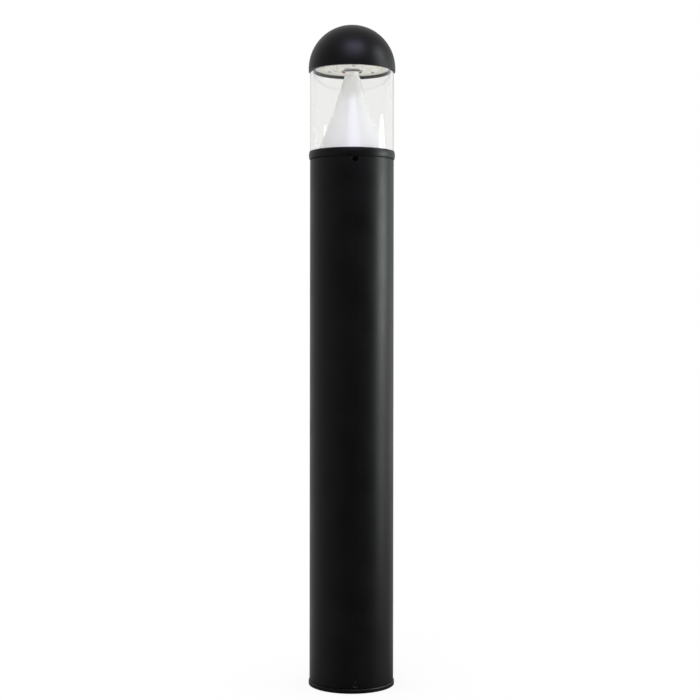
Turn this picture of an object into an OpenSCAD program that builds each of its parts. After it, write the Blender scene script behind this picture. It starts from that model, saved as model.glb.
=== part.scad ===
// Dome-top bollard light.
// A painted post stands on a cast anchor base and carries a lamp head: a clear tube round a cone
// reflector, under a domed cap whose LED board shines down on the cone.
// The driver and its tray hang from the head, inside the post.
// The origin is the centre of the base's underside, +Z is up and the front faces -Y.

/* [Overall] */
// Height from the ground to the crown of the dome
overall_h = 1067; // [880:1:1300]
// Outside diameter of the shaft
shaft_od = 136; // [130:1:170]

/* [Shaft] */
// Wall of the shaft
shaft_wall = 4; // [3:0.1:5]
// Chamfer on the shaft's outer end edges
shaft_edge = 0.5; // [0.3:0.1:0.9]

/* [Anchor base] */
// How far the foot flange stands out past the shaft
flange_proud = 1.4; // [0.2:0.1:8]
// Thickness of the foot flange and of the floor inside it
flange_t = 6.5; // [5:0.5:12]
// Rounding on the flange's upper edge
flange_edge = 1.5; // [0.5:0.25:3]
// Height of the shadow gap between the flange and the shaft
shadow_gap = 1.2; // [0.6:0.1:3]
// Depth of the shadow gap, in from the shaft's face
shadow_depth = 1; // [0.5:0.1:2.5]
// Height of the spigot above the flange
base_spigot_h = 60; // [40:1:120]
// Wall of the base spigot
base_spigot_wall = 6; // [5:0.1:7.5]
// Chamfer that leads the shaft onto a spigot
lead_in = 1.5; // [0.5:0.25:2.5]
// Diameter of the cable entry in the floor
cable_d = 45; // [30:1:56]
// Diameter of the anchor bolt circle
anchor_pcd = 89; // [80:0.5:92]
// Diameter of each anchor bolt hole
anchor_d = 12; // [8:0.5:13]
// Number of anchor bolt holes
anchor_n = 4; // [3, 4]
// Number of stiffening ribs inside the base
base_rib_n = 3; // [2, 3]
// Thickness of a rib in the base
base_rib_t = 4; // [3:0.5:6]
// Height of a rib in the base
base_rib_h = 18; // [8:1:35]
// How far a rib reaches in from the base spigot's inner wall
base_rib_w = 9; // [5:1:12]

/* [Earth terminal] */
// Diameter of the earth screw's boss
earth_boss_d = 10; // [9:0.5:12]
// Height of the boss above the floor
earth_boss_h = 8; // [7:0.5:20]
// Gap between the boss and the base spigot's inner wall
earth_boss_gap = 1.7; // [0.5:0.1:3]
// Length of the lug's cable barrel
lug_barrel_l = 10; // [6:0.5:16]
// Thickness of the lug's palm
lug_t = 1.5; // [1:0.1:2.5]

/* [Lamp head casting] */
// Height of the collar
collar_h = 12.5; // [10:0.5:24]
// How far the collar's belly stands out past the shaft
collar_proud = 1.85; // [1.4:0.05:6]
// Radius of the collar's rounded belly
collar_belly = 21; // [18:1:60]
// Thickness of the gasket between collar and shaft
collar_gasket_t = 1.5; // [1:0.1:3]
// How far that gasket is set back from the shaft's face
collar_gasket_inset = 1.5; // [0.5:0.1:2.2]
// Depth of the lens seat below the collar's top
lens_seat = 6; // [5:0.5:9]
// How far the deck stands up inside the lens
deck_step = 2.5; // [1.5:0.1:3]
// Thickness of the deck
deck_t = 5.5; // [5:0.5:8]
// Height of the head spigot below the collar
head_spigot_h = 41.5; // [30:0.5:80]
// Wall of the head spigot
head_spigot_wall = 4.5; // [3.5:0.1:6]
// Diameter of the hub under the deck
hub_d = 28; // [24:1:30]
// Height of the hub under the deck
hub_h = 8; // [6:0.5:14]
// Thickness of a rib under the deck
deck_rib_t = 3; // [2:0.5:5]
// Height of a rib under the deck
deck_rib_h = 6; // [3:0.5:8]
// Turn from one rib under the deck to the next
deck_rib_step = 45; // [30, 45, 60]

/* [Lens] */
// Height of clear lens between the collar and the dome
window_h = 129.5; // [90:0.5:180]
// Wall of the lens
lens_wall = 4.5; // [3.5:0.1:5.5]
// How far the lens goes up into the dome
lens_entry = 6.5; // [4:0.5:12]
// Thickness of the gasket under the lens
low_gasket_t = 1.5; // [1:0.1:2.4]
// Thickness of the gasket over the lens
top_gasket_t = 2; // [1:0.1:4]
// Thickness of the top gasket's inner lip
gasket_lip_t = 1.5; // [1:0.1:2]
// How far that lip hangs down inside the lens
gasket_lip_h = 5.7; // [3:0.1:10]

/* [Reflector] */
// Outside diameter of the reflector's neck
neck_d = 22.8; // [22:0.2:30]
// Height of the straight neck
neck_h = 7.9; // [5:0.1:14]
// Clear height between the neck and the LED board
neck_gap = 4.5; // [4.5:0.1:8]
// Radius of the cone where it meets the neck
cone_top_r = 12.8; // [12.5:0.1:18]
// Radius of the cone's long hollow curve
cone_curve = 850; // [300:10:3000]
// Thickness of the reflector
reflector_t = 1.2; // [0.8:0.1:1.5]
// Width of the reflector's foot, outside the cone
foot_w = 5.6; // [5.4:0.1:9]
// Width of the notches that let the leads out of the neck
lead_notch_w = 3.6; // [3:0.1:5]
// Depth of those notches
lead_notch_h = 2.4; // [1.5:0.1:4]

/* [Dome] */
// How far the dome stands out past the shaft
dome_proud = 2.35; // [1.6:0.05:8]
// Height of the straight skirt below the half ball
skirt_h = 5.15; // [3:0.05:16]
// Wall of the dome
dome_wall = 4; // [2.5:0.1:6]
// Chamfer on the skirt's lower edge
skirt_edge = 0.4; // [0.2:0.1:0.9]
// Thickness of the web that carries the LED assembly
web_t = 4; // [3:0.5:6]
// Width of that web, in from the lens's outer face
web_w = 18; // [14:0.5:24]
// Diameter of the boss that takes the tie rod
boss_d = 18; // [14:0.5:20]
// Number of cooling ribs inside the dome
dome_rib_n = 6; // [3, 6]
// Thickness of a cooling rib
dome_rib_t = 3; // [2:0.5:5]

/* [LED assembly] */
// Thickness of the heat plate
heat_plate_t = 3; // [3:0.5:6]
// Thickness of the LED board
board_t = 1.6; // [1:0.1:2.4]
// Gap round the edge of the heat plate and of the LED board
board_gap = 0.5; // [0.3:0.1:2]
// Side of an LED
led_side = 3.5; // [2.5:0.1:5]
// Height of an LED
led_h = 0.8; // [0.5:0.1:1.5]
// Number of LEDs in the outer ring
led_outer_n = 24; // [12, 18, 24]
// Distance of the outer ring of LEDs from the board's edge
led_outer_in = 12; // [8:0.5:13]
// Number of LEDs in the inner ring
led_inner_n = 12; // [6, 8, 12]
// Radius of the inner ring of LEDs
led_inner_r = 29; // [26:0.5:33]
// Radius of the board screws' circle
board_screw_r = 41; // [38.5:0.5:42]
// Turn of the first board screw from +X
board_screw_at = 34; // [0:1:119]
// Diameter of the rod seal's flange
seal_d = 26.4; // [24:0.1:28]
// How far the rod seal hangs below the board
seal_drop = 1.9; // [1.2:0.1:2]
// Diameter of the rod seal's body
seal_body_d = 22; // [19:0.5:23]

/* [Leads] */
// Outside diameter of an LED lead
lead_d = 2.2; // [1.6:0.1:2.3]
// Distance of the LED leads from the centre line
lead_r = 8.3; // [8.2:0.05:8.6]
// Turn of the red lead from +X, which the black lead mirrors
lead_at = 145; // [120:1:160]
// Bend radius of an LED lead over the neck
lead_bend = 3.6; // [3.4:0.1:4]
// Distance from the centre line at which a lead meets the board
pad_r = 18.5; // [17.5:0.1:20]
// Bend radius of an LED lead up to the board
pad_bend = 2.4; // [1.8:0.1:2.5]
// Outside diameter of the wires between driver, surge protector and terminals
wire_d = 1.8; // [1.2:0.1:2.4]

/* [Gear tray] */
// Width of the tray
tray_w = 56; // [52:1:64]
// Thickness of the tray
tray_t = 2; // [1.5:0.1:3]
// Distance of the tray's face behind the centre line
tray_y = 16; // [15.5:0.5:20]
// Depth of the tray's foot under the deck
tray_foot = 18; // [14:1:22]
// Width of the driver
driver_w = 42; // [36:1:46]
// Depth of the driver
driver_d = 30; // [24:1:32]
// Length of the driver
driver_l = 150; // [100:1:180]
// Length of a mounting tab on the driver
driver_tab = 10; // [9:0.5:16]
// Width of the surge protector
surge_w = 34; // [28:1:36]
// Depth of the surge protector
surge_d = 24; // [18:1:28]
// Length of the surge protector
surge_l = 40; // [30:1:60]
// Width of an ear on the surge protector
surge_ear = 8; // [7.5:0.5:9]
// Height of the terminal blocks
terminal_h = 14; // [12:0.5:20]
// Gap between one device on the tray and the next
device_gap = 15; // [12:1:40]

/* [Fasteners] */
// Number of screws that hold the head, and of those that hold the shaft
set_n = 3; // [3]
// Turn of the first head screw to the right of the front
head_screw_turn = 4.2; // [-30:0.1:30]
// Distance of the head screws below the shaft's top
head_screw_drop = 4.6; // [4.4:0.1:6]
// Thread diameter of the head screws
head_screw_d = 5; // [4:1:6]
// Head diameter of the head screws
head_screw_head = 9; // [8.5:0.1:10]
// Turn of the first base screw to the right of the front
base_screw_turn = 6.3; // [-30:0.1:30]
// Height of the base screws above the ground
base_screw_z = 14; // [13:0.5:30]
// Thread diameter of the base screws
base_screw_d = 8; // [6:1:10]
// Depth of the keyways that the base screws bear in
key_depth = 2.7; // [2:0.1:3]
// Width of a keyway
key_w = 10.5; // [10.5:0.5:14]
// How far a screw's end lies below the shaft's face
screw_recess = 0.4; // [0.2:0.1:1]
// Diameter of the tie rod
rod_d = 6; // [5:0.5:6]
// How far the tie rod goes into the dome's boss
rod_grip = 20; // [12:1:35]
// How far the tie rod stands out below its nut
rod_end = 2; // [1:0.5:4]

/* [Fits] */
// Gap all round between pieces that slide apart
slip_fit = 0.3; // [0.2:0.05:0.5]
// Gap all round between pieces of one assembly
seat_fit = 0.3; // [0.1:0.05:0.5]
// Gap all round a screw in its threaded hole
thread_fit = 0.05; // [0.03:0.01:0.1]

/* [Hidden] */
$fn = 96;

edge_fn = 48;     // segments of a small rounded edge
belly_fn = 144;   // segments of the collar's belly
dome_fn = 192;    // segments of the dome
curve_fn = 960;   // segments of the long reflector curve
cut = 1;          // how far a cutting shape runs past the face it cuts
front = -90;      // turn from +X to the front
back = 90;        // turn from +X to the back
anchor_at = 45;   // turn from +X to the first anchor bolt hole
base_rib_at = 180;    // turn from +X to the first rib in the base
small_set_n = 3;  // screws that hold the reflector, the heat plate and the board, each

// Small gaps and ends that no piece's size depends on
through_gap = 0.1;    // gap all round a piece that passes through a close hole
loose_gap = 0.2;      // gap all round a screw or a deck in a loose hole
tuck = 0.1;           // how far a hidden end stops short inside the shape that it joins
screw_short = 0.5;    // how far a small screw stops short of the far face
tip_chamfer = 0.4;    // chamfer on a small screw's end

// Shaft and base
shaft_r = shaft_od / 2;
shaft_ir = shaft_r - shaft_wall;
flange_r = shaft_r + flange_proud;
shaft_low = flange_t + shadow_gap;
base_spigot_r = shaft_ir - slip_fit;
base_spigot_ir = base_spigot_r - base_spigot_wall;
base_spigot_top = flange_t + base_spigot_h;
key_r = base_spigot_r - key_depth;
base_screw_r = base_screw_d / 2;
key_past = 1;         // how far a keyway runs below its screw
key_low = base_screw_z - base_screw_r - key_past;
base_socket = base_screw_d / 2;       // across the flats
base_point = 1;       // chamfer on a base screw's inner end
earth_r = base_spigot_ir - earth_boss_gap - earth_boss_d / 2;
earth_top = flange_t + earth_boss_h;
earth_screw_r = 2.5;
earth_hole_depth = 6;
lug_barrel_r = earth_boss_d * 0.35;
lug_barrel_t = 1;     // wall of the lug's barrel
lug_neck = 2;         // length of palm that the barrel is joined to
lug_barrel_y = earth_boss_d / 2 + 1;

// Heights of the head, from the crown down
dome_r = shaft_r + dome_proud;
dome_c = overall_h - dome_r;
rim_z = dome_c - skirt_h;
collar_top = rim_z - window_h;
collar_low = collar_top - collar_h;
shaft_top = collar_low - collar_gasket_t;
seat_z = collar_top - lens_seat;
deck_top = seat_z + deck_step;
deck_low = deck_top - deck_t;
hub_low = deck_low - hub_h;
lens_low = seat_z + low_gasket_t;
lens_high = rim_z + lens_entry;
web_low = lens_high + top_gasket_t;
web_high = web_low + web_t;
plate_low = web_low - heat_plate_t;
board_low = plate_low - board_t;

// Radii of the head
collar_r = shaft_r + collar_proud;
head_spigot_r = shaft_ir - slip_fit;
head_spigot_ir = head_spigot_r - head_spigot_wall;
head_spigot_low = collar_low - head_spigot_h;
lens_r = shaft_r;
lens_ir = lens_r - lens_wall;
lip_ir = lens_r + slip_fit;
deck_r = lens_ir - seat_fit;
gasket_lip_r = lens_ir - slip_fit;
gasket_lip_ir = gasket_lip_r - gasket_lip_t;
plate_r = gasket_lip_ir - board_gap;
web_ir = lens_r - web_w;
boss_r = boss_d / 2;

// Reflector
neck_r = neck_d / 2;
neck_ir = neck_r - reflector_t;
neck_top = board_low - neck_gap;
neck_low = neck_top - neck_h;
foot_r = deck_r - seat_fit;
foot_top = deck_top + reflector_t;
cone_low_r = foot_r - foot_w;
cone_fall = neck_low - foot_top;
cone_spread = cone_low_r - cone_top_r;
cone_chord = norm([cone_fall, cone_spread]);
cone_offset = sqrt(cone_curve * cone_curve - cone_chord * cone_chord / 4);
cone_centre = [(cone_top_r + cone_low_r) / 2 + cone_offset * cone_fall / cone_chord,
               (neck_low + foot_top) / 2 + cone_offset * cone_spread / cone_chord];

// Pan-head screws: shank radius, head radius, head height
pan_crown = 0.35;     // share of the head's height that its chamfer takes
pan_socket = 1.2;     // socket across the flats, as a share of the shank's radius
pan_depth = 0.6;      // depth of the socket, as a share of the head's height
m3 = [1.45, 2.6, 1.8];
m4 = [1.95, 3.6, 2.4];
m5 = [2.45, 4.4, 3];
m3_hole = m3[0] + thread_fit;
m4_hole = m4[0] + thread_fit;
foot_screw_out = 0.2; // how far the reflector's screws lie outside the middle of its foot
reflector_screw_r = foot_r - foot_w / 2 + foot_screw_out;
plate_screw_inset = 6;
plate_screw_r = plate_r - plate_screw_inset;
plate_screw_at = board_screw_at + 180 / small_set_n;
plate_screw_l = heat_plate_t + web_t - screw_short;
plate_screw_sink = 0.1;   // how far a plate screw's head lies below the plate's face
board_screw_l = board_t + heat_plate_t - 2 * screw_short;

// Head screws
head_screw_z = shaft_top - head_screw_drop;
head_screw_out = shaft_r - screw_recess;
head_screw_past = 1.5;    // how far a head screw stands out inside the spigot
head_screw_in = head_spigot_ir - head_screw_past;
head_socket = head_screw_d * 0.6;     // across the flats
head_shank_r = head_screw_d / 2;
head_cone_h = head_screw_head / 2 - head_shank_r;
notch_gap = slip_fit + loose_gap;

// Tie rod, its nut and its washer
rod_r = rod_d / 2;
washer_t = 1.2;
washer_r = 6.2;
nut_t = 5;
nut_flat = 10;
nut_top = hub_low - washer_t;
nut_low = nut_top - nut_t;
rod_low = nut_low - rod_end;
rod_high = web_low + rod_grip;
rod_chamfer = 0.5;
rod_bore_past = 1;    // how far the boss's bore runs past the rod's end

// Gear tray: heights of the devices, from the rod's end down
lead_x = -lead_r * cos(lead_at);
lead_y = lead_r * sin(lead_at);
rod_to_terminal = 6.8;
terminal_top = rod_low - rod_to_terminal;
terminal_low = terminal_top - terminal_h;
driver_top = terminal_low - device_gap;
driver_low = driver_top - driver_l;
surge_top = driver_low - driver_tab - device_gap;
surge_low = surge_top - surge_l;
supply_top = surge_low - device_gap;
supply_low = supply_top - terminal_h;
tray_past = 5;        // how far the tray runs below its lowest device
tray_low = supply_low - tray_past;
terminal_side = 5;    // width of a terminal block outside each pole
terminal_w = 2 * (lead_x + terminal_side);
terminal_front = 5.8; // depth of a terminal block in front of its poles
terminal_grip = 5;    // how far a wire goes into a terminal block
terminal_stop = 0.5;  // how far its hole runs past the wire's end
terminal_screw_rise = 4;  // height of a terminal block's screw above its underside
terminal_well = m4[1] + slip_fit;
tray_screw_x = 16;
tray_screw_y = tray_y + tray_foot * 0.6;
tray_screw_l = tray_t + deck_t - 4 * screw_short;
tray_screw_cap = 1.5; // thickness of deck over a tray screw's hole
tray_bolt_past = 1;   // how far a bolt stands out behind the tray
surge_screw_x = surge_w / 2 + surge_ear / 2;

// Route of an LED lead in its own upright plane: distance from the centre line, and height
lead_rad = lead_d / 2;
lead_low = terminal_top - terminal_grip;
lead_turn_z = board_low - seal_drop - lead_rad - loose_gap;
lead_route = concat(
    [[lead_r, lead_low]],
    [for (a = [180:-15:90])
        [lead_r + lead_bend + lead_bend * cos(a), lead_turn_z - lead_bend + lead_bend * sin(a)]],
    [for (a = [270:15:360])
        [pad_r - pad_bend + pad_bend * cos(a), lead_turn_z + pad_bend + pad_bend * sin(a)]],
    [[pad_r, board_low]]);

// ---- Outlines: x is the radius, y is the height ----

// A rectangle between two radii and two heights
module section(r_in, r_out, z_low, z_high) {
    translate([r_in, z_low]) square([r_out - r_in, z_high - z_low]);
}

// What a 45 degree chamfer takes off the corner at a radius and a height
module chamfer(r, z, size) {
    translate([r, z]) rotate(45) square(size * sqrt(2), center = true);
}

// What rounding takes off an upper outer corner at a radius and a height
module round_edge(r, z, size) {
    translate([r - size, z - size]) difference() {
        square(size + cut);
        circle(size, $fn = edge_fn);
    }
}

// ---- Solids used more than once ----

// A plain ring
module ring(r_in, r_out, z_low, z_high) {
    rotate_extrude() section(r_in, r_out, z_low, z_high);
}

// Copies spaced evenly round the centre line
module around(count, start = 0) {
    for (i = [0 : count - 1]) rotate([0, 0, start + i * 360 / count]) children();
}

// Lays a shape that stands along +Z out along +X, at a height
module outward(z) {
    translate([0, 0, z]) rotate([0, 90, 0]) children();
}

// A pan-head screw that hangs from z = 0, its shank pointing up
module pan_screw(size, shank_l) {
    translate([0, 0, -size[2]]) difference() {
        rotate_extrude() difference() {
            union() {
                section(0, size[1], 0, size[2]);
                section(0, size[0], 0, size[2] + shank_l);
            }
            chamfer(size[1], 0, size[2] * pan_crown);
            chamfer(size[0], size[2] + shank_l, tip_chamfer);
        }
        hex_socket(size[0] * pan_socket, size[2] * pan_depth);
    }
}

// A hexagonal socket that opens downwards at z = 0
module hex_socket(flats, depth) {
    translate([0, 0, -cut]) cylinder(r = flats / 2 / cos(30), h = depth + cut, $fn = 6);
}

// A pan-head screw whose head bears on the tray's devices and whose shank runs back through it
module tray_bolt(x, z, grip) {
    translate([x, tray_y - grip, z]) rotate([-90, 0, 0]) pan_screw(m4, grip + tray_t + tray_bolt_past);
}

// ---- Anchor base ----

module anchor_base() {
    color("#1c1d1f") difference() {
        union() {
            rotate_extrude() difference() {
                union() {
                    section(cable_d / 2, flange_r, 0, flange_t);
                    section(base_spigot_ir, shaft_r - shadow_depth, flange_t, shaft_low);
                    section(base_spigot_ir, base_spigot_r, flange_t, base_spigot_top);
                }
                round_edge(flange_r, flange_t, flange_edge);
                chamfer(base_spigot_r, base_spigot_top, lead_in);
            }
            around(base_rib_n, base_rib_at) base_rib();
            rotate([0, 0, back]) translate([earth_r, 0, flange_t - cut])
                cylinder(d = earth_boss_d, h = earth_boss_h + cut);
        }
        around(anchor_n, anchor_at) translate([anchor_pcd / 2, 0, -cut])
            cylinder(d = anchor_d, h = flange_t + 2 * cut);
        around(set_n, front + base_screw_turn) translate([key_r, -key_w / 2, key_low])
            cube([key_depth + cut, key_w, base_spigot_top]);
        rotate([0, 0, back]) translate([earth_r, 0, earth_top - earth_hole_depth])
            cylinder(r = earth_screw_r, h = earth_hole_depth + cut);
    }
}

module base_rib() {
    translate([base_spigot_ir - base_rib_w, -base_rib_t / 2, flange_t - cut])
        cube([base_rib_w + base_spigot_wall / 2, base_rib_t, base_rib_h + cut]);
}

module earth_lug() {
    color("#b87a3d") rotate([0, 0, back]) translate([earth_r, 0, earth_top]) difference() {
        union() {
            cylinder(d = earth_boss_d, h = lug_t);
            translate([-lug_barrel_r, 0, 0])
                cube([2 * lug_barrel_r, lug_barrel_y + lug_neck, lug_t]);
            translate([0, lug_barrel_y, lug_barrel_r]) rotate([-90, 0, 0])
                cylinder(r = lug_barrel_r, h = lug_barrel_l);
        }
        translate([0, 0, -cut]) cylinder(r = earth_screw_r + through_gap, h = lug_t + 2 * cut);
        translate([0, lug_barrel_y + lug_neck, lug_barrel_r]) rotate([-90, 0, 0])
            cylinder(r = lug_barrel_r - lug_barrel_t, h = lug_barrel_l);
    }
}

module earth_screw() {
    color("#9fb35a") rotate([0, 0, back]) translate([earth_r, 0, earth_top + lug_t])
        mirror([0, 0, 1]) pan_screw(m5, earth_hole_depth);
}

// ---- Shaft ----

module shaft_tube() {
    color("#17181a") difference() {
        rotate_extrude() difference() {
            section(shaft_ir, shaft_r, shaft_low, shaft_top);
            chamfer(shaft_r, shaft_low, shaft_edge);
            chamfer(shaft_r, shaft_top, shaft_edge);
        }
        around(set_n, front + head_screw_turn) head_screw_notch();
        around(set_n, front + base_screw_turn) base_screw_hole();
    }
}

// A countersunk notch, open to the shaft's top, that the loosened head screw lifts out of
module head_screw_notch() {
    slot_r = head_shank_r + notch_gap;
    cone_x = head_screw_out - head_cone_h;
    mouth_x = shaft_r + cut;
    mouth_r = slot_r + mouth_x - cone_x;
    lift_play = 0.05;  // how much narrower the open slot is than the round notch
    outward(head_screw_z) {
        translate([0, 0, shaft_ir - cut]) cylinder(r = slot_r, h = shaft_wall + cut);
        translate([0, 0, cone_x]) cylinder(r1 = slot_r, r2 = mouth_r, h = mouth_x - cone_x);
    }
    translate([0, 0, head_screw_z]) linear_extrude(head_screw_drop + cut) for (side = [-1, 1])
        scale([1, side]) polygon([[shaft_ir - cut, -cut], [mouth_x, -cut], [mouth_x, mouth_r - lift_play],
                                  [cone_x, slot_r - lift_play], [shaft_ir - cut, slot_r - lift_play]]);
}

module base_screw_hole() {
    sink = 0.8;  // depth of the countersink
    outward(base_screw_z) {
        translate([0, 0, shaft_ir - cut]) cylinder(r = base_screw_r, h = shaft_wall + 2 * cut);
        translate([0, 0, shaft_r - sink])
            cylinder(r1 = base_screw_r, r2 = base_screw_r + sink + cut, h = sink + cut);
    }
}

// Set screws in the shaft's wall that bear in the base's keyways
module base_set_screws() {
    tip = key_r + slip_fit;
    out = shaft_r - screw_recess;
    color("#6a6a6c") around(set_n, front + base_screw_turn) outward(base_screw_z) difference() {
        translate([0, 0, tip]) rotate_extrude() difference() {
            section(0, base_screw_r - thread_fit, 0, out - tip);
            chamfer(base_screw_r - thread_fit, 0, base_point);
            chamfer(base_screw_r - thread_fit, out - tip, tip_chamfer);
        }
        translate([0, 0, out]) mirror([0, 0, 1]) hex_socket(base_socket, (out - tip) / 2);
    }
}

// ---- Lamp head ----

module head_casting() {
    color("#1c1d1f") difference() {
        union() {
            rotate_extrude() {
                collar_outline();
                difference() {
                    section(head_spigot_ir, head_spigot_r, head_spigot_low, collar_low + cut);
                    chamfer(head_spigot_r, head_spigot_low, lead_in);
                }
                section(0, hub_d / 2, hub_low, deck_low + cut);
                section(0, deck_r, deck_low, deck_top);
            }
            for (at = [180 : deck_rib_step : 360]) rotate([0, 0, at]) deck_rib();
        }
        translate([0, 0, hub_low - cut]) cylinder(r = rod_r + slip_fit, h = hub_h + deck_t + 2 * cut);
        for (at = [lead_at, 180 - lead_at]) rotate([0, 0, at]) translate([lead_r, 0, hub_low - cut])
            cylinder(r = lead_rad + slip_fit + through_gap, h = hub_h + deck_t + 2 * cut);
        around(set_n, front + head_screw_turn) outward(head_screw_z)
            translate([0, 0, head_spigot_ir - cut])
                cylinder(r = head_shank_r, h = head_spigot_wall + 2 * cut);
        around(small_set_n, board_screw_at) translate([reflector_screw_r, 0, deck_low - cut])
            cylinder(r = m3_hole, h = deck_t + 2 * cut);
        for (side = [-1, 1]) translate([side * tray_screw_x, tray_screw_y, deck_low - cut])
            cylinder(r = m4_hole, h = deck_t - tray_screw_cap + cut);
    }
}

// The collar's belly, open above the deck and cut for the lens seat
module collar_outline() {
    difference() {
        intersection() {
            section(head_spigot_ir, collar_r + cut, collar_low, collar_top);
            translate([collar_r - collar_belly, (collar_low + collar_top) / 2])
                circle(collar_belly, $fn = belly_fn);
        }
        section(deck_r, lip_ir, seat_z, collar_top + cut);
        section(head_spigot_ir - cut, deck_r + cut, deck_top, collar_top + cut);
    }
}

// One of the ribs that fan round the front half of the deck, clear of the tray
module deck_rib() {
    translate([hub_d / 2 - cut, -deck_rib_t / 2, deck_low - deck_rib_h])
        cube([head_spigot_ir - hub_d / 2 + 2 * cut, deck_rib_t, deck_rib_h + cut]);
}

module collar_gasket() {
    color("#0d0d0e") ring(head_spigot_r + through_gap, shaft_r - collar_gasket_inset, shaft_top, collar_low);
}

// Countersunk socket screws through the shaft's notches into the head spigot
module head_screws() {
    color("#101113") around(set_n, front + head_screw_turn) outward(head_screw_z) difference() {
        rotate_extrude() {
            section(0, head_shank_r - thread_fit, head_screw_in, head_screw_out - tuck);
            polygon([[0, head_screw_out - head_cone_h - thread_fit],
                     [head_shank_r - thread_fit, head_screw_out - head_cone_h - thread_fit],
                     [head_screw_head / 2, head_screw_out], [0, head_screw_out]]);
        }
        translate([0, 0, head_screw_out]) mirror([0, 0, 1]) hex_socket(head_socket, head_cone_h);
    }
}

module lens_gasket_low() {
    color("#0d0d0e") ring(deck_r + loose_gap, lens_r, seat_z, lens_low);
}

module lens_tube() {
    color("#e8ecee", 0.35) ring(lens_ir, lens_r, lens_low, lens_high);
}

module cone_reflector() {
    notch_z = neck_top - lead_notch_h;
    color("#e6e7ea") difference() {
        rotate_extrude() {
            cone_outline();
            section(neck_ir, neck_r, neck_low - reflector_t, neck_top);
            section(neck_ir, cone_top_r, neck_low - reflector_t, neck_low);
            section(cone_low_r - reflector_t, foot_r, deck_top, foot_top);
        }
        for (at = [lead_at, 180 - lead_at]) rotate([0, 0, at])
            translate([neck_ir - cut, -lead_notch_w / 2, notch_z])
                cube([reflector_t + 2 * cut, lead_notch_w, lead_notch_h + cut]);
        around(small_set_n, board_screw_at) translate([reflector_screw_r, 0, deck_top - cut])
            cylinder(r = m3_hole, h = reflector_t + 2 * cut);
    }
}

// A thin shell along the hollow curve, from the foot up to the neck
module cone_outline() {
    intersection() {
        translate(cone_centre) difference() {
            circle(cone_curve + reflector_t, $fn = curve_fn);
            circle(cone_curve, $fn = curve_fn);
        }
        section(0, foot_r, deck_top, neck_low);
    }
}

module reflector_screws() {
    color("#c9cacc") around(small_set_n, board_screw_at) translate([reflector_screw_r, 0, foot_top])
        mirror([0, 0, 1]) pan_screw(m3, deck_t);
}

module tie_washer() {
    color("#b9bbbd") ring(rod_r + loose_gap, washer_r, nut_top, hub_low);
}

module tie_nut() {
    color("#b9bbbd") translate([0, 0, nut_low]) difference() {
        cylinder(r = nut_flat / 2 / cos(30), h = nut_t, $fn = 6);
        translate([0, 0, -cut]) cylinder(r = rod_r + slip_fit, h = nut_t + 2 * cut);
    }
}

// ---- Gear tray and its devices ----

module gear_tray() {
    color("#c4c7c9") difference() {
        union() {
            translate([-tray_w / 2, tray_y, tray_low]) cube([tray_w, tray_t, deck_low - tray_low]);
            translate([-tray_w / 2, tray_y, deck_low - tray_t]) cube([tray_w, tray_foot, tray_t]);
        }
        for (side = [-1, 1]) translate([side * tray_screw_x, tray_screw_y, deck_low - tray_t - cut])
            cylinder(r = m4_hole + loose_gap, h = tray_t + 2 * cut);
        for (z = [driver_top + driver_tab / 2, driver_low - driver_tab / 2]) tray_hole(0, z);
        for (side = [-1, 1]) tray_hole(side * surge_screw_x, (surge_top + surge_low) / 2);
        for (z = [terminal_low, supply_low]) tray_hole(0, z + terminal_screw_rise);
    }
}

module tray_hole(x, z) {
    translate([x, tray_y - cut, z]) rotate([-90, 0, 0]) cylinder(r = m4_hole, h = tray_t + 2 * cut);
}

module tray_screws() {
    color("#b9bbbd") for (side = [-1, 1])
        translate([side * tray_screw_x, tray_screw_y, deck_low - tray_t]) pan_screw(m4, tray_screw_l);
}

module led_driver() {
    tab_z = [driver_top, driver_low - driver_tab];
    color("#dcdcd8") difference() {
        union() {
            translate([-driver_w / 2, tray_y - driver_d, driver_low]) cube([driver_w, driver_d, driver_l]);
            for (z = tab_z) translate([-driver_tab, tray_y - tray_t, z])
                cube([2 * driver_tab, tray_t, driver_tab]);
        }
        for (z = tab_z) translate([0, tray_y - tray_t - cut, z + driver_tab / 2]) rotate([-90, 0, 0])
            cylinder(r = m4_hole + loose_gap, h = tray_t + 2 * cut);
    }
}

module driver_screws() {
    color("#b9bbbd") for (z = [driver_top + driver_tab / 2, driver_low - driver_tab / 2])
        tray_bolt(0, z, tray_t);
}

// The driver's output wires, up to the terminal that the LED leads plug into
module driver_leads() {
    color("#8a2a22") wire_pair(driver_top, terminal_low + terminal_grip);
}

// Two upright wires below the LED leads
module wire_pair(z_low, z_high) {
    for (side = [-1, 1]) translate([side * lead_x, lead_y, z_low]) cylinder(d = wire_d, h = z_high - z_low);
}

// A block of push-in terminals with a hole above and below each pole
module terminal_block(z_low, top_r) {
    depth = tray_y - lead_y + terminal_front;
    top = z_low + terminal_h;
    difference() {
        translate([-terminal_w / 2, tray_y - depth, z_low]) cube([terminal_w, depth, terminal_h]);
        for (side = [-1, 1]) translate([side * lead_x, lead_y, 0]) {
            translate([0, 0, top - terminal_grip - terminal_stop])
                cylinder(r = top_r, h = terminal_grip + cut);
            translate([0, 0, z_low - cut]) cylinder(r = wire_d / 2 + through_gap, h = terminal_grip + cut);
        }
        translate([0, tray_y - depth - cut, z_low + terminal_screw_rise]) rotate([-90, 0, 0])
            cylinder(r = terminal_well, h = depth - tray_t + cut);
        translate([0, tray_y - depth, z_low + terminal_screw_rise]) rotate([-90, 0, 0])
            cylinder(r = m4_hole + loose_gap, h = depth + cut);
    }
}

module lead_terminal() {
    color("#e9e9e4") terminal_block(terminal_low, lead_rad + slip_fit);
}

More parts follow.
